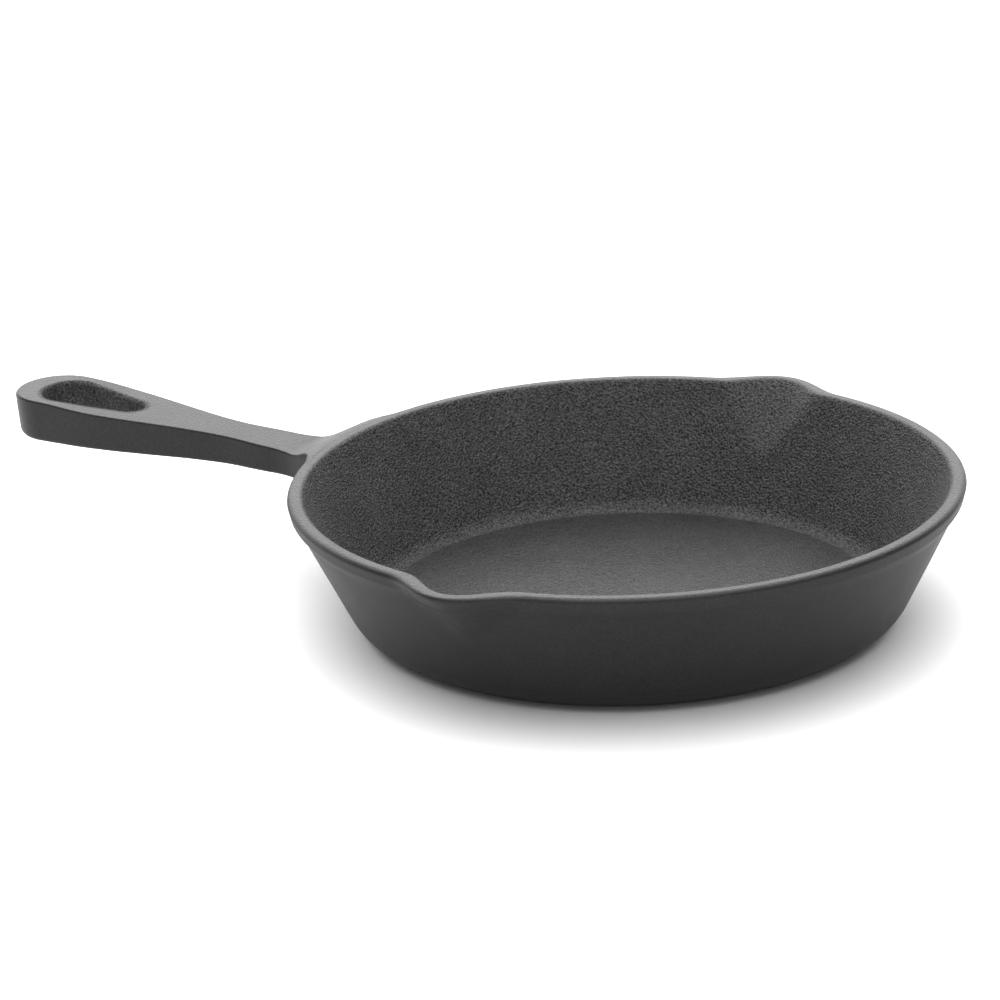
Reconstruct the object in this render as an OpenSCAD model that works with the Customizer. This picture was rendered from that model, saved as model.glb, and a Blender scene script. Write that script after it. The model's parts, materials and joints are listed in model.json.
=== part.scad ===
// Cast iron skillet with two pour spouts and a hanging eye in the handle.
// It is one casting. Its named regions are separate closed solids that meet face to face.
// Millimetres, +Z up. The origin is the centre of the flat base, on the table.
// The handle points along -X, and the pour spouts point along +Y and -Y.

/* [Pan] */
// Outer diameter of the rim
rim_diameter = 203.2; // [190:0.2:260]
// Height of the rim above the table
pan_height = 42.5; // [38:0.5:60]
// Angle of the wall from vertical
wall_flare = 26; // [18:0.1:30]
// Thickness of the wall, square to its surface
wall_thickness = 4.1; // [3.5:0.05:6]
// Thickness of the cooking floor
floor_thickness = 4.4; // [3.5:0.1:7]
// Radius between the floor and the inside of the wall
floor_fillet = 6; // [3:0.5:10]
// Radius between the base and the outside of the wall
base_corner = 14; // [6:0.5:16]

/* [Rim] */
// Height of the bead around the outside of the rim
bead_height = 5.1; // [3.5:0.1:6]
// How far the bead's lower edge stands out from the wall
bead_step = 1.45; // [0.8:0.05:2]
// How far the bead's outer face leans in from top to bottom
bead_lean = 0.5; // [0:0.1:1]
// Rounding of the rim's outer edge
rim_outer_round = 1.2; // [0.5:0.1:1.6]
// Rounding of the rim's inner edge
rim_inner_round = 1.5; // [0.5:0.1:1.8]

/* [Pour spouts] */
// How far a spout's lip stands out from the rim's circle
spout_reach = 8.8; // [5:0.1:12]
// Angle from a spout's middle to where it runs out into the rim
spout_half_angle = 13.8; // [10:0.1:18]
// Depth below the rim at which a spout runs out into the wall
spout_depth = 20.5; // [15:0.5:24]

/* [Handle] */
// Distance from the pan's axis to the tip of the handle
handle_reach = 223.3; // [216:0.1:260]
// Width of the handle at its neck
neck_width = 14.9; // [12:0.1:20]
// Width of the handle around the hanging eye
end_width = 29; // [27:0.1:36]
// Height of the rim above the handle's flat underside
underside_drop = 12.8; // [9:0.1:14]
// Height of the rim above the top of the neck
neck_drop = 4.5; // [2:0.1:5]
// Height of the handle's tip above the rim
tip_rise = 1.6; // [0:0.1:4]
// Radius of the web that joins the neck to the pan, seen from above
root_fillet = 27; // [20:0.5:34]
// Length of the rise from the neck up to the rim
root_ramp = 15; // [8:0.5:18]

/* [Hanging eye] */
// Radius of the eye's wide end, towards the handle's tip
eye_wide_radius = 9.6; // [8:0.1:10]
// Radius of the eye's narrow end, towards the pan
eye_narrow_radius = 5; // [3:0.1:6]
// Distance from the handle's tip to the centre of the eye's wide end
eye_wide_inset = 18.3; // [17:0.1:22]
// Distance between the centres of the eye's two ends
eye_centres = 23.1; // [18:0.1:28]

/* [Hidden] */

iron_colour = [0.25, 0.25, 0.25];
iron_light = [0.45, 0.45, 0.45];

// True circles, and the number of straight steps along an arc or a curve
fine = 96;
arc_steps = 6;
curve_steps = 14;
spout_arc_steps = 24;
spout_level_steps = 10;
// Cutting shapes reach this far past what they cut
spare = 5;

// The wall's straight stretches: its outer face starts under the bead
rim_radius = rim_diameter / 2;
bead_low_z = pan_height - bead_height;
bead_low_radius = rim_radius - bead_lean;
wall_top_radius = bead_low_radius - bead_step;
wall_across = wall_thickness / cos(wall_flare);
function outer_radius(z) = wall_top_radius - (bead_low_z - z) * tan(wall_flare);
function inner_radius(z) = outer_radius(z) - wall_across;

// A round corner between a level face and the wall leaves the level face this far
// before the sharp corner would be
function corner_setback(radius) = radius / tan((90 + wall_flare) / 2);
base_radius = outer_radius(0) - corner_setback(base_corner);
floor_radius = inner_radius(floor_thickness) - corner_setback(floor_fillet);
// The floor and the wall meet on this upright cylinder, inside both round corners
split_radius = min(base_radius, floor_radius) - 1;

// Spouts
spout_low_z = pan_height - spout_depth;
spout_profile_power = 1.2;
spout_directions = [90, -90];

// Handle, measured along its own axis from the pan's axis
neck_half = neck_width / 2;
end_half = end_width / 2;
end_centre = handle_reach - end_half;
underside_z = pan_height - underside_drop;
handle_blank = underside_drop + tip_rise + spare;
web_centre = sqrt(pow(rim_radius + root_fillet, 2) - pow(neck_half + root_fillet, 2));
web_angle = asin((neck_half + root_fillet) / (rim_radius + root_fillet));
root_end = web_centre + 1;
neck_end = root_end + 5;
taper_end = end_centre - 3;
eye_wide_centre = handle_reach - eye_wide_inset;
eye_narrow_centre = eye_wide_centre - eye_centres;
shank_end = eye_narrow_centre - eye_narrow_radius - 9;

// A rise from 0 to 1 that starts and ends level
function ease(t) = let (u = min(max(t, 0), 1)) u * u * (3 - 2 * u);

// Points on an arc in the plane
function arc(centre, radius, start, end) =
    [for (i = [0:arc_steps]) let (a = start + (end - start) * i / arc_steps)
        [centre[0] + radius * cos(a), centre[1] + radius * sin(a)]];

// Outside of the rim from the bead's lower edge up, over the top and down inside
rim_inner_radius = inner_radius(pan_height);
function rim_outline() = concat(
    [[bead_low_radius, bead_low_z]],
    arc([rim_radius - rim_outer_round, pan_height - rim_outer_round], rim_outer_round, 0, 90),
    arc([rim_inner_radius + corner_setback(rim_inner_round), pan_height - rim_inner_round],
        rim_inner_round, 90, 180 - wall_flare));

// The wall's outline between two levels of the straight stretch
function wall_outline(low_z, high_z, steps) = [for (i = [0:steps])
    let (z = low_z + (high_z - low_z) * i / steps) [outer_radius(z), z]];
function inner_outline(high_z, low_z, steps) = [for (i = [0:steps])
    let (z = high_z + (low_z - high_z) * i / steps) [inner_radius(z), z]];

// How far a spout pushes the wall outwards, at an angle from its middle and a height
function spout_push(angle, z) =
    let (rise = min(max((z - spout_low_z) / spout_depth, 0), 1),
         half_angle = spout_half_angle * pow(rise, 0.5))
    abs(angle) >= half_angle || rise <= 0 ? 0
        : spout_reach * pow(rise, spout_profile_power) * pow(cos(90 * angle / half_angle), 2);

// The cross-section of the wall and rim that a spout bends, in rings of equal point count
spout_outline = concat(
    wall_outline(spout_low_z, bead_low_z, spout_level_steps),
    rim_outline(),
    inner_outline(bead_low_z, spout_low_z, spout_level_steps));
function spout_ring(angle) = [for (p = spout_outline)
    let (r = p[0] + spout_push(angle, p[1])) [r * cos(angle), r * sin(angle), p[1]]];

// Half the handle's width at a distance from the pan's axis
function half_width(s) =
    neck_half + (end_half - neck_half) * ease((s - neck_end) / (taper_end - neck_end));
// Height of the handle's top at a distance from the pan's axis
function top_z(s) = pan_height - neck_drop
    + (neck_drop + tip_rise) * (s - root_end) / (handle_reach - root_end);

// The two sectors that the spouts fill, as deep as the spouts go
module spout_sectors() {
    for (direction = spout_directions)
        rotate([0, 0, direction - spout_half_angle])
            rotate_extrude(angle = 2 * spout_half_angle, $fn = fine)
                translate([split_radius, spout_low_z])
                    square([rim_radius + spare - split_radius, spout_depth + spare]);
}

module pan_floor() {
    color(iron_colour)
        cylinder(r = split_radius, h = floor_thickness, $fn = fine);
}

module sidewall() {
    outside_corner = arc([base_radius, base_corner], base_corner, -90, -wall_flare);
    inside_corner = arc([floor_radius, floor_thickness + floor_fillet], floor_fillet,
        -wall_flare, -90);
    color(iron_colour)
        difference() {
            rotate_extrude($fn = fine)
                polygon(concat([[split_radius, 0]], outside_corner,
                    [[wall_top_radius, bead_low_z], [inner_radius(bead_low_z), bead_low_z]],
                    inside_corner, [[split_radius, floor_thickness]]));
            spout_sectors();
        }
}

// The rim is two arcs of bead and wall top, one on each side of the spouts
module rim() {
    color(iron_light)
        difference() {
            rotate_extrude($fn = fine)
                polygon(concat([[wall_top_radius, bead_low_z]], rim_outline(),
                    [[inner_radius(bead_low_z), bead_low_z]]));
            spout_sectors();
        }
}

// The outline has an odd number of points. Each point going up pairs with one coming down,
// and the middle point, on top of the rim, closes the ends with a single triangle.
module pour_spout() {
    count = len(spout_outline);
    middle = (count - 1) / 2;
    rings = [for (i = [0:spout_arc_steps])
        spout_ring(spout_half_angle * (2 * i / spout_arc_steps - 1))];
    last = spout_arc_steps * count;
    sides = [for (i = [0:spout_arc_steps - 1], j = [0:count - 1])
        let (a = i * count + j, b = i * count + (j + 1) % count)
        each [[a, b, b + count], [a, b + count, a + count]]];
    cap = [for (j = [0:middle - 1]) let (across = count - 1 - j)
        each j == middle - 1 ? [[j, j + 1, across]]
            : [[j, j + 1, across - 1], [j, across - 1, across]]];
    start_cap = [for (t = cap) [t[2], t[1], t[0]]];
    end_cap = [for (t = cap) [for (index = t) last + index]];
    color(iron_light)
        polyhedron(points = [for (ring = rings, point = ring) point],
            faces = concat(sides, start_cap, end_cap), convexity = 6);
}

module pour_spout_left() {
    rotate([0, 0, spout_directions[0]]) pour_spout();
}

module pour_spout_right() {
    rotate([0, 0, spout_directions[1]]) pour_spout();
}

// The handle is drawn along +X and turned to its place
module along_handle() {
    rotate([0, 0, 180]) children();
}

// The neck's end with a concave web on each side that runs out into the rim's circle
module root_plan() {
    web_low_radius = outer_radius(underside_z) - spare;
    function side(sign) = [
        [root_end, sign * neck_half],
        [web_centre, sign * neck_half],
        [web_centre, sign * (neck_half + root_fillet)],
        [rim_radius * cos(web_angle), sign * rim_radius * sin(web_angle)],
        [web_low_radius * cos(web_angle), sign * web_low_radius * sin(web_angle)]];
    right = side(-1);
    difference() {
        polygon(concat(side(1), [for (i = [len(right) - 1:-1:0]) right[i]]));
        for (sign = [-1, 1])
            translate([web_centre, sign * (neck_half + root_fillet)])
                circle(r = root_fillet, $fn = fine);
    }
}

// The root fills the space from the wall and bead outwards, and rises to the rim
module handle_root() {
    ramp = [for (i = [0:curve_steps]) let (t = i / curve_steps)
        [rim_radius + root_ramp * t, pan_height - neck_drop * ease(t)
            - rim_outer_round * (1 - t)]];
    color(iron_light)
        along_handle()
            intersection() {
                translate([0, 0, underside_z])
                    linear_extrude(height = underside_drop + spare) root_plan();
                rotate_extrude($fn = fine)
                    polygon(concat(
                        [[outer_radius(underside_z), underside_z],
                         [root_end + spare, underside_z],
                         [root_end + spare, pan_height - neck_drop]],
                        [for (i = [curve_steps:-1:0]) ramp[i]],
                        [[bead_low_radius, bead_low_z], [wall_top_radius, bead_low_z]]));
            }
}

// Cuts an upright piece of the handle to its flat underside and its rising top
module between_faces(start, end) {
    intersection() {
        children();
        rotate([90, 0, 0])
            linear_extrude(height = end_width + spare, center = true)
                polygon([[start, underside_z], [end, underside_z],
                    [end, top_z(end)], [start, top_z(start)]]);
    }
}

// A tapering stretch of the handle, taller than it ends up
module taper(start, end) {
    steps = [for (i = [0:curve_steps]) start + (end - start) * i / curve_steps];
    translate([0, 0, underside_z])
        linear_extrude(height = handle_blank)
            polygon(concat([for (s = steps) [s, half_width(s)]],
                [for (i = [curve_steps:-1:0]) [steps[i], -half_width(steps[i])]]));
}

module handle_shank() {
    color(iron_light)
        along_handle()
            between_faces(root_end, shank_end)
                taper(root_end, shank_end);
}

// The teardrop opening: two round ends joined by the lines that touch both
module eye_outline() {
    lean = asin((eye_wide_radius - eye_narrow_radius) / eye_centres);
    function touch(centre, radius, sign) =
        [centre - radius * sin(lean), sign * radius * cos(lean)];
    translate([eye_wide_centre, 0]) circle(r = eye_wide_radius, $fn = fine);
    translate([eye_narrow_centre, 0]) circle(r = eye_narrow_radius, $fn = fine);
    polygon([touch(eye_wide_centre, eye_wide_radius, 1),
        touch(eye_narrow_centre, eye_narrow_radius, 1),
        touch(eye_narrow_centre, eye_narrow_radius, -1),
        touch(eye_wide_centre, eye_wide_radius, -1)]);
}

module hanging_eye() {
    color(iron_light)
        along_handle()
            difference() {
                between_faces(shank_end, handle_reach)
                    union() {
                        taper(shank_end, end_centre);
                        translate([end_centre, 0, underside_z])
                            cylinder(r = end_half, h = handle_blank, $fn = fine);
                    }
                translate([0, 0, underside_z - spare])
                    linear_extrude(height = handle_blank + 2 * spare) eye_outline();
            }
}

pan_floor();
sidewall();
rim();
pour_spout_left();
pour_spout_right();
handle_root();
handle_shank();
hanging_eye();
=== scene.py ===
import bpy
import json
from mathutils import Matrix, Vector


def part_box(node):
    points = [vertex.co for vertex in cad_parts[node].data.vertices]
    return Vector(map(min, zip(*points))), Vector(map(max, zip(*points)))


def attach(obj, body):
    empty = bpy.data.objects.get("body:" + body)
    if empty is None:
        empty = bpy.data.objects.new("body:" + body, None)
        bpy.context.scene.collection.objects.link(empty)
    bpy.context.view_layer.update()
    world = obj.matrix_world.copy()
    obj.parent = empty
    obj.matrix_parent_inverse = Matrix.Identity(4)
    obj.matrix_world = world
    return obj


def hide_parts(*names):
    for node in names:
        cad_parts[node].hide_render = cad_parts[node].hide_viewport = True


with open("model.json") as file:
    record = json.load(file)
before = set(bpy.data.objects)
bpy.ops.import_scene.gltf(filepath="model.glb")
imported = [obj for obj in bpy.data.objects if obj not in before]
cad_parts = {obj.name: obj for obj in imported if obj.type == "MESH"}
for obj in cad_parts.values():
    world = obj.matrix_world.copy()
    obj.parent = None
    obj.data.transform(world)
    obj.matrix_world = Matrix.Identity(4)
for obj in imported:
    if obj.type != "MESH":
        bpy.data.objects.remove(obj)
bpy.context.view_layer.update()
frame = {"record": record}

# A cast iron skillet. The whole casting is drawn as one continuous surface, with its fillets and
# rounded edges, and that surface is then cut into one closed piece for each CAD node.
# Lengths are in millimetres until a mesh is made. The handle points along -X.
import json
import math

import bpy
import numpy as np
from mathutils import Matrix, Vector, noise

MM = 0.001


# ---- Sizes that the frame gives ----

def low(node):
    return np.array(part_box(node)[0]) / MM


def high(node):
    return np.array(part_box(node)[1]) / MM


PAN_HEIGHT = high("rim")[2]
RIM_RADIUS = high("rim")[0]
FLOOR_TOP = high("pan_floor")[2]
SPLIT_RADIUS = high("pan_floor")[0]
BEAD_LOW = high("sidewall")[2]
SPOUT_LOW = low("pour_spout_left")[2]
SPOUT_REACH = high("pour_spout_left")[1] - RIM_RADIUS
UNDERSIDE = low("hanging_eye")[2]
TIP_HEIGHT = high("hanging_eye")[2]
END_HALF = high("hanging_eye")[1]
HANDLE_REACH = -low("hanging_eye")[0]
SHANK_END = -high("hanging_eye")[0]
NECK_START = -high("handle_shank")[0]

# ---- Sizes inside the casting, which no box shows ----

WALL_FLARE = math.radians(26)        # from the vertical
WALL_TOP_RADIUS = RIM_RADIUS - 1.95  # outside of the wall at the height of the bead's lower edge
WALL_ACROSS = 5                      # level thickness of the wall
FLOOR_FILLET = 6
BASE_CORNER = 14
BEAD_RADIUS = RIM_RADIUS - 0.5       # at its lower edge
BEAD_LOW_ROUND = 1.6
COVE_RADIUS = 4.5                    # hollow under the bead
COVE_TURN = math.radians(38)         # how far the bead's lower edge faces down
RIM_OUTER_ROUND = 1.5                # height of the rounding along the rim's outer edge
RIM_CROWN = 1.8                      # and its width across the rim
RIM_INNER_ROUND = 1.6                # radius along the inner edge
SPOUT_POWER = 1.35                   # how a spout bends out upwards, as a power of the height
CHANNEL_POWER = 1.05                 # the same on the inside
SPOUT_HALF_ANGLE = math.radians(13.8)
# The inside is narrower, which makes the spout's shoulders wide
CHANNEL_HALF_ANGLE = math.radians(11.3)
SPOUT_TAPER = 0.75                   # how fast a spout widens upwards, as a power of the height
LIP_FALL = 0.2                       # how much lower its lip's outer edge is than the rim

NECK_HALF = 7.2                      # at the narrowest place
NECK_SPREAD = 0.8                    # how much wider each side is where it meets the web
NECK_LENGTH = 16                     # over which that is lost
NECK_DROP = 4.5
RAMP_START = RIM_RADIUS - 1.2        # where the web's top starts to fall to the handle's
ROOT_RAMP = 15                       # and over what length
ROOT_BLEND = 0.45                    # share of the web in which the pan's section fades out
ROOT_FOOT = 27                       # where the handle's underside runs out into the wall
EDGE_TOP = 0.6                       # rounding along the handle's upper edges
EDGE_LOW = 1.4                       # rounding along its lower edges
TIP_TOP = 1.6                        # the same two at the very tip
TIP_LOW = 2.8
SIDE_DRAFT = 0.07                    # how much the sides lean in, per millimetre down
EYE_EDGE = 1.2                       # rounding along the eye's edges
EYE_BLUNT = 0.12                     # share by which its wide end is flattened
EYE_SWELL = 0.5                      # how far the handle's top rises around the eye
SWELL_MIDDLE = 205                   # how far along the handle it rises most
SWELL_REACH = 19                     # how far it reaches each way from there
UNDERSIDE_SLOPE = 0.0105             # the underside falls towards the pan, per millimetre
UNDERSIDE_LEVEL = 190                # how far along it is at the height that the frame gives
EYE_WIDE_RADIUS = 9.6
EYE_NARROW_RADIUS = 5
EYE_WIDE_CENTRE = HANDLE_REACH - 18.3
EYE_NARROW_CENTRE = EYE_WIDE_CENTRE - 23.1
END_CENTRE = HANDLE_REACH - END_HALF
GROWTH_START = NECK_START + 13       # where the handle starts to widen towards the eye
GROWTH_END = END_CENTRE - 10         # and where it has its full width

# The surface is never quite even: slow waves, as (size across, height)
WAVES = ((11, 0.035), (27, 0.06))
WAVE_SEED = 7.3
CALM_HEIGHT = 4                      # they fade out towards the base below this height

# ---- Steps of the surface ----

COLUMNS = 480
STEP = 2 * math.pi / COLUMNS
QUARTER = COLUMNS // 4
SPOUT_COLUMNS = 19
HANDLE_COLUMN = COLUMNS // 2
HANDLE_COLUMNS = 21
DISC_RADIUS = 60
WEB_STEPS = 44
SHANK_STEPS = 40
EYE_SIDE_STEPS = 40
EYE_TIP_STEPS = 44
EYE_RINGS = 8
ROUND_STEPS = 5
SIDE_STEPS = 12
QUARTER_TURN = math.pi / 2


def ease(t):
    t = np.clip(t, 0, 1)
    return t * t * (3 - 2 * t)


def mix(a, b, t):
    return a + (b - a) * t


# ---- The surface that every piece is cut from ----

class Casting:
    """All points of the casting, with each region's visible faces and the hidden faces that
    close it where it meets its neighbours."""

    def __init__(self):
        self.points = np.zeros((0, 3))
        self.visible = {}
        self.hidden = {}
        self.eye_wall = None

    def add(self, points):
        """Adds an array of points and returns their numbers in the same arrangement."""
        points = np.asarray(points, float)
        first = len(self.points)
        self.points = np.concatenate([self.points, points.reshape(-1, 3)])
        return np.arange(first, len(self.points)).reshape(points.shape[:-1])

    def quads(self, region, grid, flip=False, hidden=False):
        corners = [grid[:-1, :-1], grid[:-1, 1:], grid[1:, 1:], grid[1:, :-1]]
        faces = np.stack([corner.ravel() for corner in corners[::-1 if flip else 1]], 1)
        target = self.hidden if hidden else self.visible
        target.setdefault(region, []).extend(faces.tolist())

    def cap(self, region, loop, flip=False):
        loop = [int(number) for number in loop]
        self.hidden.setdefault(region, []).append(loop[::-1] if flip else loop)

    def normals(self):
        """Each point's normal, from the visible faces of every region together."""
        total = np.zeros_like(self.points)
        for faces in self.visible.values():
            corners = np.array(faces)
            place = self.points[corners]
            facing = np.cross(place[:, 2] - place[:, 0], place[:, 3] - place[:, 1])
            for k in range(4):
                np.add.at(total, corners[:, k], facing)
        length = np.linalg.norm(total, axis=1, keepdims=True)
        return total / np.maximum(length, 1e-12)


def closed(grid):
    return np.concatenate([grid, grid[:, :1]], 1)


# ---- The pan: a section, as (radius, height), turned about Z and bent out at the spouts ----

def arc(centre, radius, start, end, steps):
    turn = np.linspace(start, end, steps + 1)
    return np.stack([centre[0] + radius * np.cos(turn), centre[1] + radius * np.sin(turn)], 1)


def line(start, end, steps):
    t = np.linspace(0, 1, steps + 1)[:, None]
    return mix(np.array(start, float), np.array(end, float), t)


def outer_radius(z):
    return WALL_TOP_RADIUS - (BEAD_LOW - z) * math.tan(WALL_FLARE)


def outer(z):
    return (outer_radius(z), z)


def inner(z):
    return (outer_radius(z) - WALL_ACROSS, z)


def setback(radius):
    """How far before the sharp corner a round corner leaves a level face for the wall."""
    return radius / math.tan((QUARTER_TURN + WALL_FLARE) / 2)


def under_bead():
    """The cove from the wall to the bead, and the bead's rounded lower edge above it."""
    centre = np.array([BEAD_RADIUS - BEAD_LOW_ROUND, BEAD_LOW + BEAD_LOW_ROUND])
    edge = arc(centre, BEAD_LOW_ROUND, -COVE_TURN, 0, 3)
    facing = np.array([math.cos(COVE_TURN), -math.sin(COVE_TURN)])
    cove = arc(edge[0] + COVE_RADIUS * facing, COVE_RADIUS,
               math.pi - WALL_FLARE, math.pi - COVE_TURN, 3)
    # The cove moves down the straight bit between the two until its foot is on the wall
    gap = cove[0, 0] - outer_radius(cove[0, 1])
    down = np.array([-math.sin(COVE_TURN), -math.cos(COVE_TURN)])
    return cove + down * gap / (down[1] * math.tan(WALL_FLARE) - down[0]), edge


def pan_section():
    """Rows of the section from the base out, up, over the rim and in to the floor, and the
    number of the last row of each named stretch."""
    base_radius = outer_radius(0) - setback(BASE_CORNER)
    floor_radius = inner(FLOOR_TOP)[0] - setback(FLOOR_FILLET)
    corner = arc((base_radius, BASE_CORNER), BASE_CORNER, -QUARTER_TURN, -WALL_FLARE, 12)
    cove, bead_edge = under_bead()
    crown = arc((0, 0), 1, 0, QUARTER_TURN, 7) * (RIM_CROWN, RIM_OUTER_ROUND)
    outer_top = crown + (RIM_RADIUS - RIM_CROWN, PAN_HEIGHT - RIM_OUTER_ROUND)
    inner_top = arc((inner(PAN_HEIGHT)[0] + setback(RIM_INNER_ROUND),
                     PAN_HEIGHT - RIM_INNER_ROUND),
                    RIM_INNER_ROUND, QUARTER_TURN, math.pi - WALL_FLARE, 6)
    fillet = arc((floor_radius, FLOOR_TOP + FLOOR_FILLET), FLOOR_FILLET,
                 -WALL_FLARE, -QUARTER_TURN, 9)
    # The last number of each line or arc is its count of steps. Those from wall_top to rim_edge
    # add up to ROWS_DOWN, so that the handle's rings have a row for each of them
    stretches = [
        ("base_disc", [(DISC_RADIUS, 0)]),
        ("base_split", line((DISC_RADIUS, 0), (SPLIT_RADIUS, 0), 8)),
        ("base_edge", line((SPLIT_RADIUS, 0), (base_radius, 0), 1)),
        ("corner", corner),
        ("spout_low", line(corner[-1], outer(SPOUT_LOW), 9)),
        ("foot", line(outer(SPOUT_LOW), outer(ROOT_FOOT), 3)),
        ("wall_top", line(outer(ROOT_FOOT), cove[0], 6)),
        ("cove", cove),
        ("bead_low", line(cove[-1], bead_edge[0], 1)),
        ("bead_edge", bead_edge),
        ("bead_high", line(bead_edge[-1], outer_top[0], 2)),
        ("rim_edge", outer_top),
        ("rim_top", line(outer_top[-1], inner_top[0], 4)),
        ("inner_edge", inner_top),
        ("inner_bead_low", line(inner_top[-1], inner(BEAD_LOW), 3)),
        ("inner_spout_low", line(inner(BEAD_LOW), inner(SPOUT_LOW), 12)),
        ("fillet_top", line(inner(SPOUT_LOW), fillet[0], 8)),
        ("fillet_low", fillet),
        ("floor_split", line(fillet[-1], (SPLIT_RADIUS, FLOOR_TOP), 1)),
        ("floor_disc", line((SPLIT_RADIUS, FLOOR_TOP), (DISC_RADIUS, FLOOR_TOP), 8)),
    ]
    rows, last_row = [], {}
    for name, points in stretches:
        rows.extend(np.array(points)[1 if rows else 0:])
        last_row[name] = len(rows) - 1
    return np.array(rows), last_row


def inside_share(rows, last_row):
    """0 on the outside of the wall, 1 on its inside, and between the two across the rim."""
    share = np.clip((RIM_RADIUS - rows[:, 0]) / (RIM_RADIUS - inner(PAN_HEIGHT)[0]), 0, 1)
    share[:last_row["bead_high"] + 1] = 0
    share[last_row["inner_edge"]:] = 1
    return share[:, None]


def spout_push(angle, z, inside):
    """How far a spout bends the wall outwards, at an angle from its middle, and down."""
    rise = np.clip((z - SPOUT_LOW) / (PAN_HEIGHT - SPOUT_LOW), 0, 1)
    top_angle = mix(SPOUT_HALF_ANGLE, CHANNEL_HALF_ANGLE, inside)
    half_angle = np.maximum(top_angle * rise ** SPOUT_TAPER, 1e-6)
    bulge = np.cos(np.clip(np.abs(angle) / half_angle, 0, 1) * QUARTER_TURN) ** 2
    power = mix(SPOUT_POWER, CHANNEL_POWER, inside)
    return SPOUT_REACH * rise ** power * bulge, LIP_FALL * (1 - inside) * rise ** 2 * bulge


def add_disc(casting, edge, z, flip):
    """A round plate of even cells whose edge is an existing ring of points."""
    ticks = math.sqrt(2) * np.sin(np.linspace(-math.pi / 4, math.pi / 4, QUARTER + 1))
    across, along = np.meshgrid(ticks, ticks)
    x = across * np.sqrt(1 - along ** 2 / 2) * DISC_RADIUS
    y = along * np.sqrt(1 - across ** 2 / 2) * DISC_RADIUS
    column = np.rint(np.arctan2(y, x) / STEP).astype(int) % COLUMNS
    grid = edge[column]
    inside = (slice(1, -1), slice(1, -1))
    grid[inside] = casting.add(np.stack([x, y, np.full_like(x, z)], 2)[inside])
    casting.quads("pan_floor", grid, flip)


def add_pan(casting):
    """The bowl with its two spouts. Returns its grid of points, its section and row numbers."""
    rows, last_row = pan_section()
    turn = np.arange(COLUMNS) * STEP
    z = np.repeat(rows[:, 1:], COLUMNS, 1)
    r = rows[:, :1]
    level, inside = z, inside_share(rows, last_row)
    for middle in (QUARTER_TURN, 3 * QUARTER_TURN):
        push, dip = spout_push(turn - middle, level, inside)
        r, z = r + push, z - dip
    pan = casting.add(np.stack([r * np.cos(turn), r * np.sin(turn), z], 2))

    def cells(row_numbers, start, end):
        return pan[np.ix_(row_numbers, np.arange(start, end + 1) % COLUMNS)]

    def patch(first, last, start=0, end=COLUMNS):
        return cells(np.arange(last_row[first], last_row[last] + 1), start, end)

    def strip(first, last, start=0, end=COLUMNS):
        return cells([last_row[first], last_row[last]], start, end)

    def section(column, *names):
        """The rows between each pair of names, as one loop."""
        used = []
        for first, last in zip(names[::2], names[1::2]):
            used.extend(range(last_row[first], last_row[last] + 1))
        return pan[used, column % COLUMNS]

    add_disc(casting, pan[last_row["base_disc"]], 0, True)
    add_disc(casting, pan[last_row["floor_disc"]], FLOOR_TOP, False)
    casting.quads("pan_floor", patch("base_disc", "base_split"))
    casting.quads("pan_floor", patch("floor_split", "floor_disc"))
    casting.quads("pan_floor", strip("base_split", "floor_split"), hidden=True)
    casting.quads("sidewall", patch("base_split", "spout_low"))
    casting.quads("sidewall", patch("inner_spout_low", "floor_split"))
    casting.quads("sidewall", strip("floor_split", "base_split"), hidden=True)

    web = (HANDLE_COLUMN - HANDLE_COLUMNS, HANDLE_COLUMN + HANDLE_COLUMNS)
    arcs = [(QUARTER + SPOUT_COLUMNS, 3 * QUARTER - SPOUT_COLUMNS),
            (3 * QUARTER + SPOUT_COLUMNS, 5 * QUARTER - SPOUT_COLUMNS)]
    for start, end in arcs:
        bare = [(start, end)]
        if start < HANDLE_COLUMN < end:
            # The handle's web covers a patch of the wall and the rim
            bare = [(start, web[0]), (web[1], end)]
            casting.quads("sidewall", patch("spout_low", "foot", *web))
            casting.quads("sidewall", patch("foot", "bead_low", *web), hidden=True)
            casting.quads("rim", patch("bead_low", "rim_edge", *web), hidden=True)
            casting.quads("handle_root", patch("foot", "rim_edge", *web), True, hidden=True)
        for part in bare:
            casting.quads("sidewall", patch("spout_low", "bead_low", *part))
            casting.quads("rim", patch("bead_low", "rim_edge", *part))
        casting.quads("sidewall", patch("inner_bead_low", "inner_spout_low", start, end))
        casting.quads("rim", patch("rim_edge", "inner_bead_low", start, end))
        casting.quads("sidewall", strip("bead_low", "inner_bead_low", start, end), hidden=True)
        casting.quads("rim", strip("inner_bead_low", "bead_low", start, end), hidden=True)
        for column, flip in ((start, False), (end, True)):
            casting.cap("rim", section(column, "bead_low", "inner_bead_low"), flip)
            casting.cap("sidewall", section(column, "spout_low", "bead_low",
                                            "inner_bead_low", "inner_spout_low"), flip)
    for name, middle in (("pour_spout_left", QUARTER), ("pour_spout_right", 3 * QUARTER)):
        start, end = middle - SPOUT_COLUMNS, middle + SPOUT_COLUMNS
        casting.quads(name, patch("spout_low", "inner_spout_low", start, end))
        casting.quads(name, strip("inner_spout_low", "spout_low", start, end), hidden=True)
        casting.quads("sidewall", strip("spout_low", "inner_spout_low", start, end), hidden=True)
        for column, flip in ((start, False), (end, True)):
            casting.cap(name, section(column, "spout_low", "inner_spout_low"), flip)
    return pan, rows, last_row


# ---- The handle: s runs along it from the pan's axis, and w across it ----

ACROSS = np.linspace(-1, 1, 2 * HANDLE_COLUMNS + 1)
CORNER = 2 * HANDLE_COLUMNS
ROWS_DOWN = 2 * ROUND_STEPS + SIDE_STEPS


def handle_point(s, w, z):
    return np.stack(np.broadcast_arrays(-s, -w, z), -1)


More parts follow.
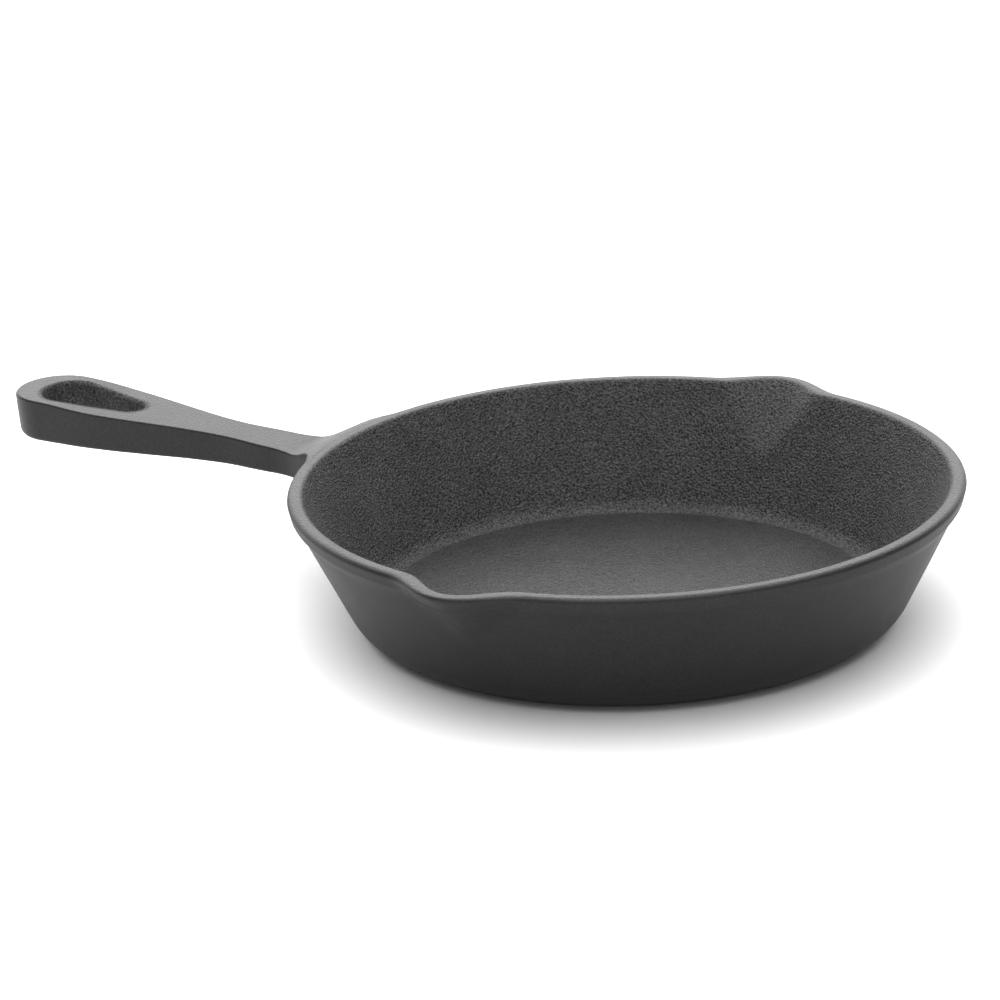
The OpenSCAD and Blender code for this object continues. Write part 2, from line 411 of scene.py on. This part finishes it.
def top_line(s):
    """Height of the handle's top, which rises evenly to the tip but swells around the eye."""
    neck_top = PAN_HEIGHT - NECK_DROP
    even = (TIP_HEIGHT - neck_top) * (s - NECK_START) / (HANDLE_REACH - NECK_START)
    return neck_top + even + EYE_SWELL * ease(1 - np.abs(s - SWELL_MIDDLE) / SWELL_REACH)


def low_line(s):
    """Height of the handle's underside."""
    return UNDERSIDE + UNDERSIDE_SLOPE * (s - UNDERSIDE_LEVEL)


def half_width(s):
    """Half the handle's width, which narrows from the web and then grows towards the eye."""
    spread = NECK_SPREAD * (1 - ease((s - NECK_START) / NECK_LENGTH))
    growth = ease((s - GROWTH_START) / (GROWTH_END - GROWTH_START))
    return mix(NECK_HALF + spread, END_HALF, growth)


def side_rows(depth, edge_top, edge_low, draft):
    """For the rows down a side with two rounded edges: how far each one is set in, and how far
    down it is as a share of the depth. The rows run along the first axis."""
    turn = np.linspace(0, QUARTER_TURN, ROUND_STEPS + 1)[:, None]
    face = np.linspace(0, 1, SIDE_STEPS + 1)[1:-1, None]
    depth, edge_top, edge_low = np.broadcast_arrays(*np.atleast_1d(depth, edge_top, edge_low))
    face_depth = depth - edge_top - edge_low
    inset = np.concatenate([edge_top * (1 - np.sin(turn)), face_depth * draft * face,
                            face_depth * draft + edge_low * (1 - np.cos(turn))])
    drop = np.concatenate([edge_top * (1 - np.cos(turn)), edge_top + face_depth * face,
                           depth - edge_low * (1 - np.sin(turn))])
    return inset, drop / depth


def ring(top, side, low):
    """A loop round the handle from (s, w, z) rows: its top, one side, its bottom, the other."""
    mirrored = np.array([1, -1, 1])[:, None]
    return handle_point(*np.concatenate([top, side[:, 1:], low[:, ::-1][:, 1:],
                                         (side * mirrored)[:, -2:0:-1]], 1))


def handle_side(s):
    """Insets and heights down the handle's side at one distance along it."""
    top = top_line(s)
    inset, fall = side_rows(top - low_line(s), EDGE_TOP, EDGE_LOW, SIDE_DRAFT)
    return inset[:, 0], fall[:, 0]


def rib(s):
    inset, fall = handle_side(s)
    half = half_width(s) - inset
    height = mix(top_line(s), low_line(s), fall)
    place = np.full_like(ACROSS, s)
    return ring(np.stack([place, ACROSS * half[0], np.full_like(ACROSS, height[0])]),
                np.stack([np.full_like(half, s), half, height]),
                np.stack([place, ACROSS * half[-1], np.full_like(ACROSS, height[-1])]))


def web_rings(column):
    """Rings of the web between the pan and the neck. Seen from above, each side is an arc that
    leaves the rim's circle and ends along the neck. The column is the pan's own section where
    the web starts, from the rim's top down."""
    start = HANDLE_COLUMNS * STEP
    neck_half = NECK_HALF + NECK_SPREAD
    web_radius = (RIM_RADIUS * math.sin(start) - neck_half) / (1 - math.sin(start))
    centre_s = (RIM_RADIUS + web_radius) * math.cos(start)
    centre_w = neck_half + web_radius
    pan_inset = RIM_RADIUS - column[:, 0]
    pan_fall = (column[0, 1] - column[:, 1]) / (column[0, 1] - column[-1, 1])
    neck_inset, neck_fall = handle_side(centre_s)
    bend = (low_line(centre_s) - ROOT_FOOT) / (1 - math.sin(WALL_FLARE))
    run = bend * math.cos(WALL_FLARE)

    def top_height(s, w):
        return mix(PAN_HEIGHT, top_line(s), ease((np.hypot(s, w) - RAMP_START) / ROOT_RAMP))

    def low_height(s, w):
        out = np.clip(np.hypot(s, w) - column[-1, 0], 0, run)
        return low_line(centre_s) - bend + np.sqrt(bend ** 2 - (run - out) ** 2)

    def across(edge_s, edge_w, radius, height, t):
        """A row between the two sides, which straightens as it leaves the pan's circle."""
        turn = ACROSS * start
        s = edge_s + radius * (np.cos(turn) - math.cos(start)) * (1 - ease(t))
        w = edge_w * mix(np.sin(turn) / math.sin(start), ACROSS, t)
        return np.stack([s, w, height(s, w)])

    rings = []
    for t in np.linspace(0, 1, WEB_STEPS + 1)[1:]:
        turn = mix(math.pi + start, 3 * QUARTER_TURN, t)
        blend = ease(t / ROOT_BLEND)
        radius = web_radius + mix(pan_inset, neck_inset, blend)
        s = centre_s + radius * math.cos(turn)
        w = centre_w + radius * math.sin(turn)
        height = mix(top_height(s[0], w[0]), low_height(s[-1], w[-1]),
                     mix(pan_fall, neck_fall, blend))
        rings.append(ring(across(s[0], w[0], column[0, 0], top_height, t),
                          np.stack([s, w, height]),
                          across(s[-1], w[-1], column[-1, 0], low_height, t)))
    return rings, centre_s


def add_handle(casting, pan, rows, last_row):
    """The web and the shank. Returns the loop of points at the shank's far end."""
    down = np.arange(last_row["rim_edge"], last_row["foot"] - 1, -1)
    columns = HANDLE_COLUMN + np.arange(-HANDLE_COLUMNS, HANDLE_COLUMNS + 1)
    on_pan = np.concatenate([pan[down[0], columns], pan[down[1:], columns[-1]],
                             pan[down[-1], columns[::-1][1:]], pan[down[-2:0:-1], columns[0]]])
    rings, neck = web_rings(rows[down])
    ribs = [rib(s) for s in np.linspace(neck, SHANK_END, SHANK_STEPS + 1)[1:]]
    web = np.concatenate([on_pan[None], casting.add(rings)])
    shank = np.concatenate([web[-1:], casting.add(ribs)])
    casting.quads("handle_root", closed(web), flip=True)
    casting.cap("handle_root", web[-1], flip=True)
    casting.quads("handle_shank", closed(shank), flip=True)
    casting.cap("handle_shank", shank[0])
    casting.cap("handle_shank", shank[-1], flip=True)
    return shank[-1]


def end_side_points():
    """Rows down the outer side of the handle's end, from the shank round the tip and back."""
    along = np.linspace(SHANK_END, END_CENTRE, EYE_SIDE_STEPS + 1)[1:]
    back = along[-2::-1]
    tip = np.linspace(QUARTER_TURN, -QUARTER_TURN, EYE_TIP_STEPS + 1)[1:]
    start = np.concatenate([along, np.full(EYE_TIP_STEPS, END_CENTRE), back])
    facing = np.concatenate([np.full(len(along), QUARTER_TURN), tip,
                             np.full(len(back), -QUARTER_TURN)])
    reach = half_width(start)
    tipward = np.cos(facing) ** 2
    depth = top_line(start + reach * np.cos(facing)) - low_line(start)
    inset, fall = side_rows(depth, mix(EDGE_TOP, TIP_TOP, tipward),
                            mix(EDGE_LOW, TIP_LOW, tipward), SIDE_DRAFT)
    s = start + (reach - inset) * np.cos(facing)
    return handle_point(s, (reach - inset) * np.sin(facing), mix(top_line(s), low_line(s), fall))


def eye_outline(offset):
    """The teardrop in plan, as (s, w), moved out from the opening. Its points pair up with the
    loop round the handle's end: narrow end, side, wide end, side."""
    lean = math.asin((EYE_WIDE_RADIUS - EYE_NARROW_RADIUS) / (EYE_WIDE_CENTRE - EYE_NARROW_CENTRE))
    touch = QUARTER_TURN + lean
    narrow = arc((EYE_NARROW_CENTRE, 0), EYE_NARROW_RADIUS + offset,
                 2 * math.pi - touch, touch, CORNER)
    wide = arc((EYE_WIDE_CENTRE, 0), EYE_WIDE_RADIUS + offset, touch, -touch, EYE_TIP_STEPS)
    wide[:, 0] -= EYE_BLUNT * np.maximum(wide[:, 0] - EYE_WIDE_CENTRE, 0)
    return np.concatenate([narrow, line(narrow[-1], wide[0], EYE_SIDE_STEPS)[1:-1],
                           wide, line(wide[-1], narrow[0], EYE_SIDE_STEPS)[1:-1]])


def eye_wall_points():
    """Rows down the wall of the opening, which is upright between its two rounded edges."""
    depth = top_line(EYE_WIDE_CENTRE) - low_line(EYE_WIDE_CENTRE)
    inset, fall = side_rows(depth, EYE_EDGE, EYE_EDGE, 0)
    rows = []
    for offset, share in zip(inset[:, 0], fall[:, 0]):
        s, w = eye_outline(offset).T
        rows.append(handle_point(s, w, mix(top_line(s), low_line(s), share)))
    return np.array(rows)


def add_eye(casting, shank_end):
    """The handle's end: its outer side, the eye's wall, and the two faces between them."""
    side = casting.add(end_side_points())
    near = shank_end[CORNER:CORNER + ROWS_DOWN + 1]
    far = np.concatenate([shank_end[:1], shank_end[:-ROWS_DOWN - 1:-1]])
    casting.quads("hanging_eye", np.column_stack([near, side, far]))
    wall = casting.add(eye_wall_points())
    casting.eye_wall = wall.ravel()
    casting.quads("hanging_eye", closed(wall), flip=True)
    top_edge = np.concatenate([shank_end[:CORNER + 1], side[0]])
    low_end = shank_end[CORNER + ROWS_DOWN:2 * CORNER + ROWS_DOWN + 1]
    low_edge = np.concatenate([low_end[::-1], side[-1]])
    share = np.linspace(0, 1, EYE_RINGS + 1)[1:-1, None, None]
    for edge, rim, flip in ((top_edge, wall[0], True), (low_edge, wall[-1], False)):
        between = casting.add(mix(casting.points[edge], casting.points[rim], share))
        rings = np.concatenate([edge[None], between, rim[None]])
        casting.quads("hanging_eye", closed(rings), flip)
    casting.cap("hanging_eye", shank_end)


def wave(casting):
    """Gives the casting its slightly uneven surface. The base it stands on stays flat."""
    normals = casting.normals()
    height = np.zeros(len(casting.points))
    for size, amount in WAVES:
        spots = casting.points / size + WAVE_SEED
        height += amount * np.array([noise.noise(Vector(spot)) for spot in spots])
    casting.points += normals * (height * ease(casting.points[:, 2] / CALM_HEIGHT))[:, None]


# ---- Pieces ----

# Where each look applies. A facing is a part of the point's unit normal
COARSE_HIGH_FACING = 0.6             # inward, from which the grain is full in the upper half
COARSE_LOW_FACING = 0.3              # the same in the lower half, which takes in the fillet
FLOOR_FACING = 0.9                   # upward, above which the lower half starts to be floor
FLOOR_FADE = 0.1
WEAR_AND_TOP_LIGHT_FACING = 0.5                    # upward, above which a top starts to be lighter: partly wear, partly painted light from above
WEAR_AND_TOP_LIGHT_FADE = 0.45
WEAR_AND_TOP_LIGHT_HEIGHT = 30                     # what faces up above this is a top of the rim, spouts or handle
WEAR_AND_TOP_LIGHT_RISE = 6
OUTSIDE_FACING = 0.5                 # outward, from which it is all outside

def masks(casting, normals):
    """What the material needs to know about each point: how much it belongs to the coarse inner
    wall, the floor, the outside and the tops, whose lighter tone is partly wear and partly painted
    light from above, and how much of the deep grain it shows."""
    points = casting.points
    r = np.hypot(points[:, 0], points[:, 1])
    inward = -(points[:, :2] * normals[:, :2]).sum(1) / np.maximum(r, 1)
    in_pan = r < RIM_RADIUS + SPOUT_REACH
    in_bowl = in_pan & (inward > 0)
    upper_half = points[:, 2] > PAN_HEIGHT / 2
    # The grain runs down the fillet to the floor's edge, but fades out on the rim's rounding
    full_facing = np.where(upper_half, COARSE_HIGH_FACING, COARSE_LOW_FACING)
    coarse = in_bowl * ease(inward / full_facing)
    coarse[casting.eye_wall] = 1
    floor = ease((normals[:, 2] - FLOOR_FACING) / FLOOR_FADE) * (points[:, 2] < PAN_HEIGHT / 2)
    grain = np.maximum(coarse, FLOOR_GRAIN * floor)
    # Tops that face up get a lighter tone: partly wear, partly painted light falling on them from
    # above
    top = ease((normals[:, 2] - WEAR_AND_TOP_LIGHT_FACING) / WEAR_AND_TOP_LIGHT_FADE)
    wear_and_top_light = top * ease((points[:, 2] - WEAR_AND_TOP_LIGHT_HEIGHT) / WEAR_AND_TOP_LIGHT_RISE)
    grain = np.maximum(grain, TOP_GRAIN * wear_and_top_light)
    outside = in_pan * ease(-inward / OUTSIDE_FACING)
    return {"coarse": coarse, "floor": floor, "grain": grain, "wear_and_top_light": wear_and_top_light, "outside": outside}


def make_piece(casting, node, normals, point_masks, material):
    """One closed mesh. Its visible faces keep the whole casting's normals, so that neighbouring
    pieces shade as one surface, and its hidden faces are flat."""
    visible, hidden = casting.visible[node], casting.hidden[node]
    faces = visible + hidden
    used, local = np.unique(np.concatenate([np.array(face) for face in faces]),
                            return_inverse=True)
    sizes = [len(face) for face in faces]
    corners = np.split(local, np.cumsum(sizes)[:-1])
    mesh = bpy.data.meshes.new("cast_" + node)
    mesh.from_pydata((casting.points[used] * MM).tolist(), [], [c.tolist() for c in corners])
    mesh.shade_smooth()
    loop_normals = normals[used[local]]
    for polygon in mesh.polygons[len(visible):]:
        start = polygon.loop_start
        loop_normals[start:start + polygon.loop_total] = polygon.normal
    mesh.normals_split_custom_set(loop_normals.tolist())
    for name, values in point_masks.items():
        layer = mesh.attributes.new(name, "FLOAT", "POINT")
        layer.data.foreach_set("value", values[used].astype(np.float32))
    mesh.materials.append(material)
    piece = bpy.data.objects.new("cast_" + node, mesh)
    bpy.context.scene.collection.objects.link(piece)
    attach(piece, "root")
    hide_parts(node)
    return piece


# ---- Materials ----

SAND_SIZE = 0.68                     # grains in millimetres
FINE_SAND_SIZE = 0.6
CLOUD_SIZE = 16                      # faint patches in the film
SAND_NOISE = (1.0, 0.5)              # detail and roughness of the grains
CLOUD_NOISE = (3.0, 0.6)             # and of the patches
FLOOR_TONE = 0.048                   # tones of the film, from 0 for black to 1 for white
OUTSIDE_TONE = 0.024
# The tops that face up are made lighter: partly wear, partly painted light from above
WEAR_AND_TOP_LIGHT_TONE = 0.042
COARSE_TONE = 0.08
HANDLE_TONE = 0.024
FLOOR_GRAIN = 0.55                   # share of the coarse grain's height
COARSE_GRAIN = 0.7                   # heights in millimetres
FINE_GRAIN = 0.08
TOP_GRAIN = 0.3                     # share of the coarse grain's height on the tops
SMOOTH_GRAIN = 0.02
FILM_ROUGHNESS = 0.4
OUTSIDE_ROUGHNESS = 0.05             # how much rougher the outside is
COARSE_ROUGHNESS = 0.25              # and the coarse inner wall
FLOOR_ROUGHNESS = -0.05              # the floor is a little smoother
CLOUD_ROUGHNESS = 0.12               # how much it differs between patches
FILM_INDEX = 1.45                    # of refraction
# How the tone follows the noise, as a slope and the value where the noise is 0
FINE_SPECKLE = (1.2, 0.4)
COARSE_SPECKLE = (3.2, -0.6)
PATCHES = (0.5, 0.75)
DARKEST = 0.15                       # share of its tone that the film keeps in the deepest pit


class Nodes:
    """A short way to write node trees."""

    def __init__(self, tree):
        self.tree = tree
        tree.nodes.clear()

    def add(self, kind, settings=None, **inputs):
        node = self.tree.nodes.new(kind)
        for name, value in (settings or {}).items():
            setattr(node, name, value)
        for name, value in inputs.items():
            socket = node.inputs[name.replace("_", " ")]
            self.feed(socket, value)
        return node

    def feed(self, socket, value):
        if isinstance(value, bpy.types.NodeSocket):
            self.tree.links.new(value, socket)
        else:
            socket.default_value = value

    def math(self, operation, a, b=0.0, c=0.0):
        node = self.tree.nodes.new("ShaderNodeMath")
        node.operation = operation
        for socket, value in zip(node.inputs, (a, b, c)):
            self.feed(socket, value)
        return node.outputs[0]

    def mix(self, a, b, share):
        """Between a and b by a share."""
        return self.math("MULTIPLY_ADD", share, self.math("SUBTRACT", b, a), a)

    def mask(self, name):
        node = self.tree.nodes.new("ShaderNodeAttribute")
        node.attribute_name = name
        return node.outputs["Fac"]

    def noise(self, place, size, detail, roughness):
        """Noise from 0 to 1 whose blobs are about this size, in millimetres."""
        node = self.add("ShaderNodeTexNoise", Vector=place, Scale=1 / (size * MM),
                        Detail=detail, Roughness=roughness)
        return node.outputs["Fac"]


def iron(slot):
    """Pre-seasoned cast iron: a baked-on oil film over the print of the moulding sand."""
    material = bpy.data.materials.new(slot)
    material.use_nodes = True
    nodes = Nodes(material.node_tree)
    place = nodes.add("ShaderNodeTexCoord").outputs["Object"]
    coarse, grain = nodes.mask("coarse"), nodes.mask("grain")
    wear_and_top_light, outside, floor = nodes.mask("wear_and_top_light"), nodes.mask("outside"), nodes.mask("floor")

    sand = nodes.noise(place, SAND_SIZE, *SAND_NOISE)
    fine_sand = nodes.noise(place, FINE_SAND_SIZE, *SAND_NOISE)
    cloud = nodes.noise(place, CLOUD_SIZE, *CLOUD_NOISE)

    # Colour: the film is thin on the sand's high grains and thick in the pits between them
    plain = nodes.mix(nodes.mix(HANDLE_TONE, FLOOR_TONE, floor), OUTSIDE_TONE, outside)
    # The tops that face up are lighter here: partly wear, partly painted light from above
    plain = nodes.mix(plain, WEAR_AND_TOP_LIGHT_TONE, wear_and_top_light)
    film = nodes.mix(plain, COARSE_TONE, coarse)
    speckle = nodes.mix(nodes.math("MULTIPLY_ADD", fine_sand, *FINE_SPECKLE),
                        nodes.math("MULTIPLY_ADD", sand, *COARSE_SPECKLE), grain)
    patches = nodes.math("MULTIPLY_ADD", cloud, *PATCHES)
    tone = nodes.math("MULTIPLY", nodes.math("MULTIPLY", film, patches),
                      nodes.math("MAXIMUM", speckle, DARKEST))
    colour = nodes.add("ShaderNodeCombineColor", Red=tone, Green=tone, Blue=tone)

    # Relief: deep grains in the bowl, finer ones elsewhere, and least on the outer wall
    fine_height = nodes.mix(FINE_GRAIN, SMOOTH_GRAIN, outside)
    height = nodes.mix(nodes.math("MULTIPLY", fine_sand, fine_height),
                       nodes.math("MULTIPLY", sand, COARSE_GRAIN), grain)
    bump = nodes.add("ShaderNodeBump", Strength=1.0, Distance=MM, Height=height)
    gloss = nodes.math("MULTIPLY_ADD", cloud, CLOUD_ROUGHNESS,
                       FILM_ROUGHNESS - CLOUD_ROUGHNESS / 2)
    for mask, rougher in ((outside, OUTSIDE_ROUGHNESS), (coarse, COARSE_ROUGHNESS),
                          (floor, FLOOR_ROUGHNESS)):
        gloss = nodes.math("MULTIPLY_ADD", mask, rougher, gloss)
    shader = nodes.add("ShaderNodeBsdfPrincipled", Base_Color=colour.outputs[0],
                       Roughness=gloss, Normal=bump.outputs[0], IOR=FILM_INDEX)
    nodes.add("ShaderNodeOutputMaterial", Surface=shader.outputs[0])
    return material


def make_pieces():
    casting = Casting()
    pan, rows, last_row = add_pan(casting)
    shank_end = add_handle(casting, pan, rows, last_row)
    add_eye(casting, shank_end)
    wave(casting)
    normals = casting.normals()
    point_masks = masks(casting, normals)
    slots = {part["node"]: part["material_slot"] for part in frame["record"]["subparts"]}
    materials = {slot: iron(slot) for slot in sorted(set(slots.values()))}
    for node, slot in slots.items():
        make_piece(casting, node, normals, point_masks, materials[slot])


# ---- Studio ----

VIEW_AZIMUTH = 29.3                  # angles in degrees
VIEW_ELEVATION = 19.306
VIEW_DISTANCE = 1.2408               # metres from a point on the pan's axis
VIEW_HEIGHT = 0.042                  # and the height of that point
TURNED_LEFT = 1.853                  # how far the camera is turned away from it
TURNED_DOWN = 0.211
ROLL = -2.387
LENS = 149.0                         # millimetres, as the sensor's width is
SENSOR_WIDTH = 36

OVERHEAD_LIGHT = 2.2
BACKDROP_LIGHT = 1.8                 # low behind the pan
BACK_LIGHT = 3.2                     # between that and the overhead light
FRONT_LIGHT = 0.7                    # low on the camera's side
ROOM_LIGHT = 0.45                    # everywhere else
SIDE_LIGHT = 0.1                     # the same on the left and the right
BACKDROP_TURN = 8                    # its middle is this far to the left of the camera's axis
CONTRAST = 1.25
# Where each light begins and where it is full, as a part of the direction's unit vector
BEHIND_RAMP = (0.2, 0.9)             # away from the camera
FRONT_RAMP = (0.1, -0.6)             # the same way, so below 0 it is towards the camera
FRONT_TOP = (0.65, 0.2)              # this and the rest are upward
BACK_RAMP = (0.1, 0.5)               # from the backdrop's light to the back light
BACKDROP_TOP = (0.9, 0.65)
OVERHEAD_RAMP = (0.6, 0.8)
FLOOR_REACH = 6                      # metres each way
PAPER_TONE = 0.92
PAPER_ROUGHNESS = 0.9


def make_camera():
    camera = bpy.data.objects.new("camera", bpy.data.cameras.new("camera"))
    bpy.context.scene.collection.objects.link(camera)
    camera.data.sensor_width = SENSOR_WIDTH
    camera.data.lens = LENS
    azimuth, elevation = math.radians(VIEW_AZIMUTH), math.radians(VIEW_ELEVATION)
    back = Vector((math.sin(azimuth) * math.cos(elevation),
                   -math.cos(azimuth) * math.cos(elevation), math.sin(elevation)))
    centre = Vector((0, 0, VIEW_HEIGHT))
    heading = Matrix.Rotation(math.radians(VIEW_AZIMUTH + TURNED_LEFT), 4, "Z")
    tilt = Matrix.Rotation(math.radians(90 - VIEW_ELEVATION - TURNED_DOWN), 4, "X")
    roll = Matrix.Rotation(math.radians(ROLL), 4, "Z")
    camera.matrix_world = Matrix.Translation(centre + back * VIEW_DISTANCE) @ heading @ tilt @ roll
    bpy.context.scene.camera = camera


def make_floor():
    mesh = bpy.data.meshes.new("floor")
    corners = [(x * FLOOR_REACH, y * FLOOR_REACH, 0)
               for x, y in ((-1, -1), (1, -1), (1, 1), (-1, 1))]
    mesh.from_pydata(corners, [], [(0, 1, 2, 3)])
    material = bpy.data.materials.new("white_paper")
    material.use_nodes = True
    shader = material.node_tree.nodes["Principled BSDF"]
    shader.inputs["Base Color"].default_value = (PAPER_TONE, PAPER_TONE, PAPER_TONE, 1)
    shader.inputs["Roughness"].default_value = PAPER_ROUGHNESS
    shader.inputs["Specular IOR Level"].default_value = 0
    mesh.materials.append(material)
    floor = bpy.data.objects.new("floor", mesh)
    bpy.context.scene.collection.objects.link(floor)


def make_world():
    """A white studio: a wide soft light overhead, a bright backdrop and dimmer walls."""
    world = bpy.data.worlds.new("studio")
    bpy.context.scene.world = world
    world.use_nodes = True
    nodes = Nodes(world.node_tree)
    direction = nodes.add("ShaderNodeTexCoord").outputs["Generated"]
    azimuth = math.radians(VIEW_AZIMUTH + BACKDROP_TURN)
    away = (-math.sin(azimuth), math.cos(azimuth), 0)
    sideways = (math.cos(azimuth), math.sin(azimuth), 0)

    def facing(way):
        dot = nodes.add("ShaderNodeVectorMath", {"operation": "DOT_PRODUCT"})
        nodes.feed(dot.inputs[0], direction)
        nodes.feed(dot.inputs[1], way)
        return dot.outputs["Value"]

    def step(value, start, end):
        node = nodes.add("ShaderNodeMapRange", {"interpolation_type": "SMOOTHSTEP"}, Value=value)
        node.inputs["From Min"].default_value = start
        node.inputs["From Max"].default_value = end
        return node.outputs["Result"]

    up = facing((0, 0, 1))
    behind = step(facing(away), *BEHIND_RAMP)
    front = nodes.math("MULTIPLY", step(facing(away), *FRONT_RAMP), step(up, *FRONT_TOP))
    height = nodes.mix(BACKDROP_LIGHT, BACK_LIGHT, step(up, *BACK_RAMP))
    backdrop = nodes.math("MULTIPLY", nodes.math("MULTIPLY", behind, height),
                          step(up, *BACKDROP_TOP))
    overhead = nodes.math("MULTIPLY", step(up, *OVERHEAD_RAMP), OVERHEAD_LIGHT)
    side = nodes.math("POWER", nodes.math("ABSOLUTE", facing(sideways)), 2.0)
    room = nodes.math("MULTIPLY_ADD", side, SIDE_LIGHT - ROOM_LIGHT, ROOM_LIGHT)
    room = nodes.math("MULTIPLY_ADD", front, FRONT_LIGHT, room)
    strength = nodes.math("ADD", nodes.math("ADD", backdrop, overhead), room)
    light = nodes.add("ShaderNodeBackground", Color=(1, 1, 1, 1), Strength=strength)
    nodes.add("ShaderNodeOutputWorld", Surface=light.outputs[0])


make_camera()
make_floor()
make_world()
make_pieces()

view = bpy.context.scene.view_settings
view.view_transform = "Standard"
view.gamma = 1 / CONTRAST
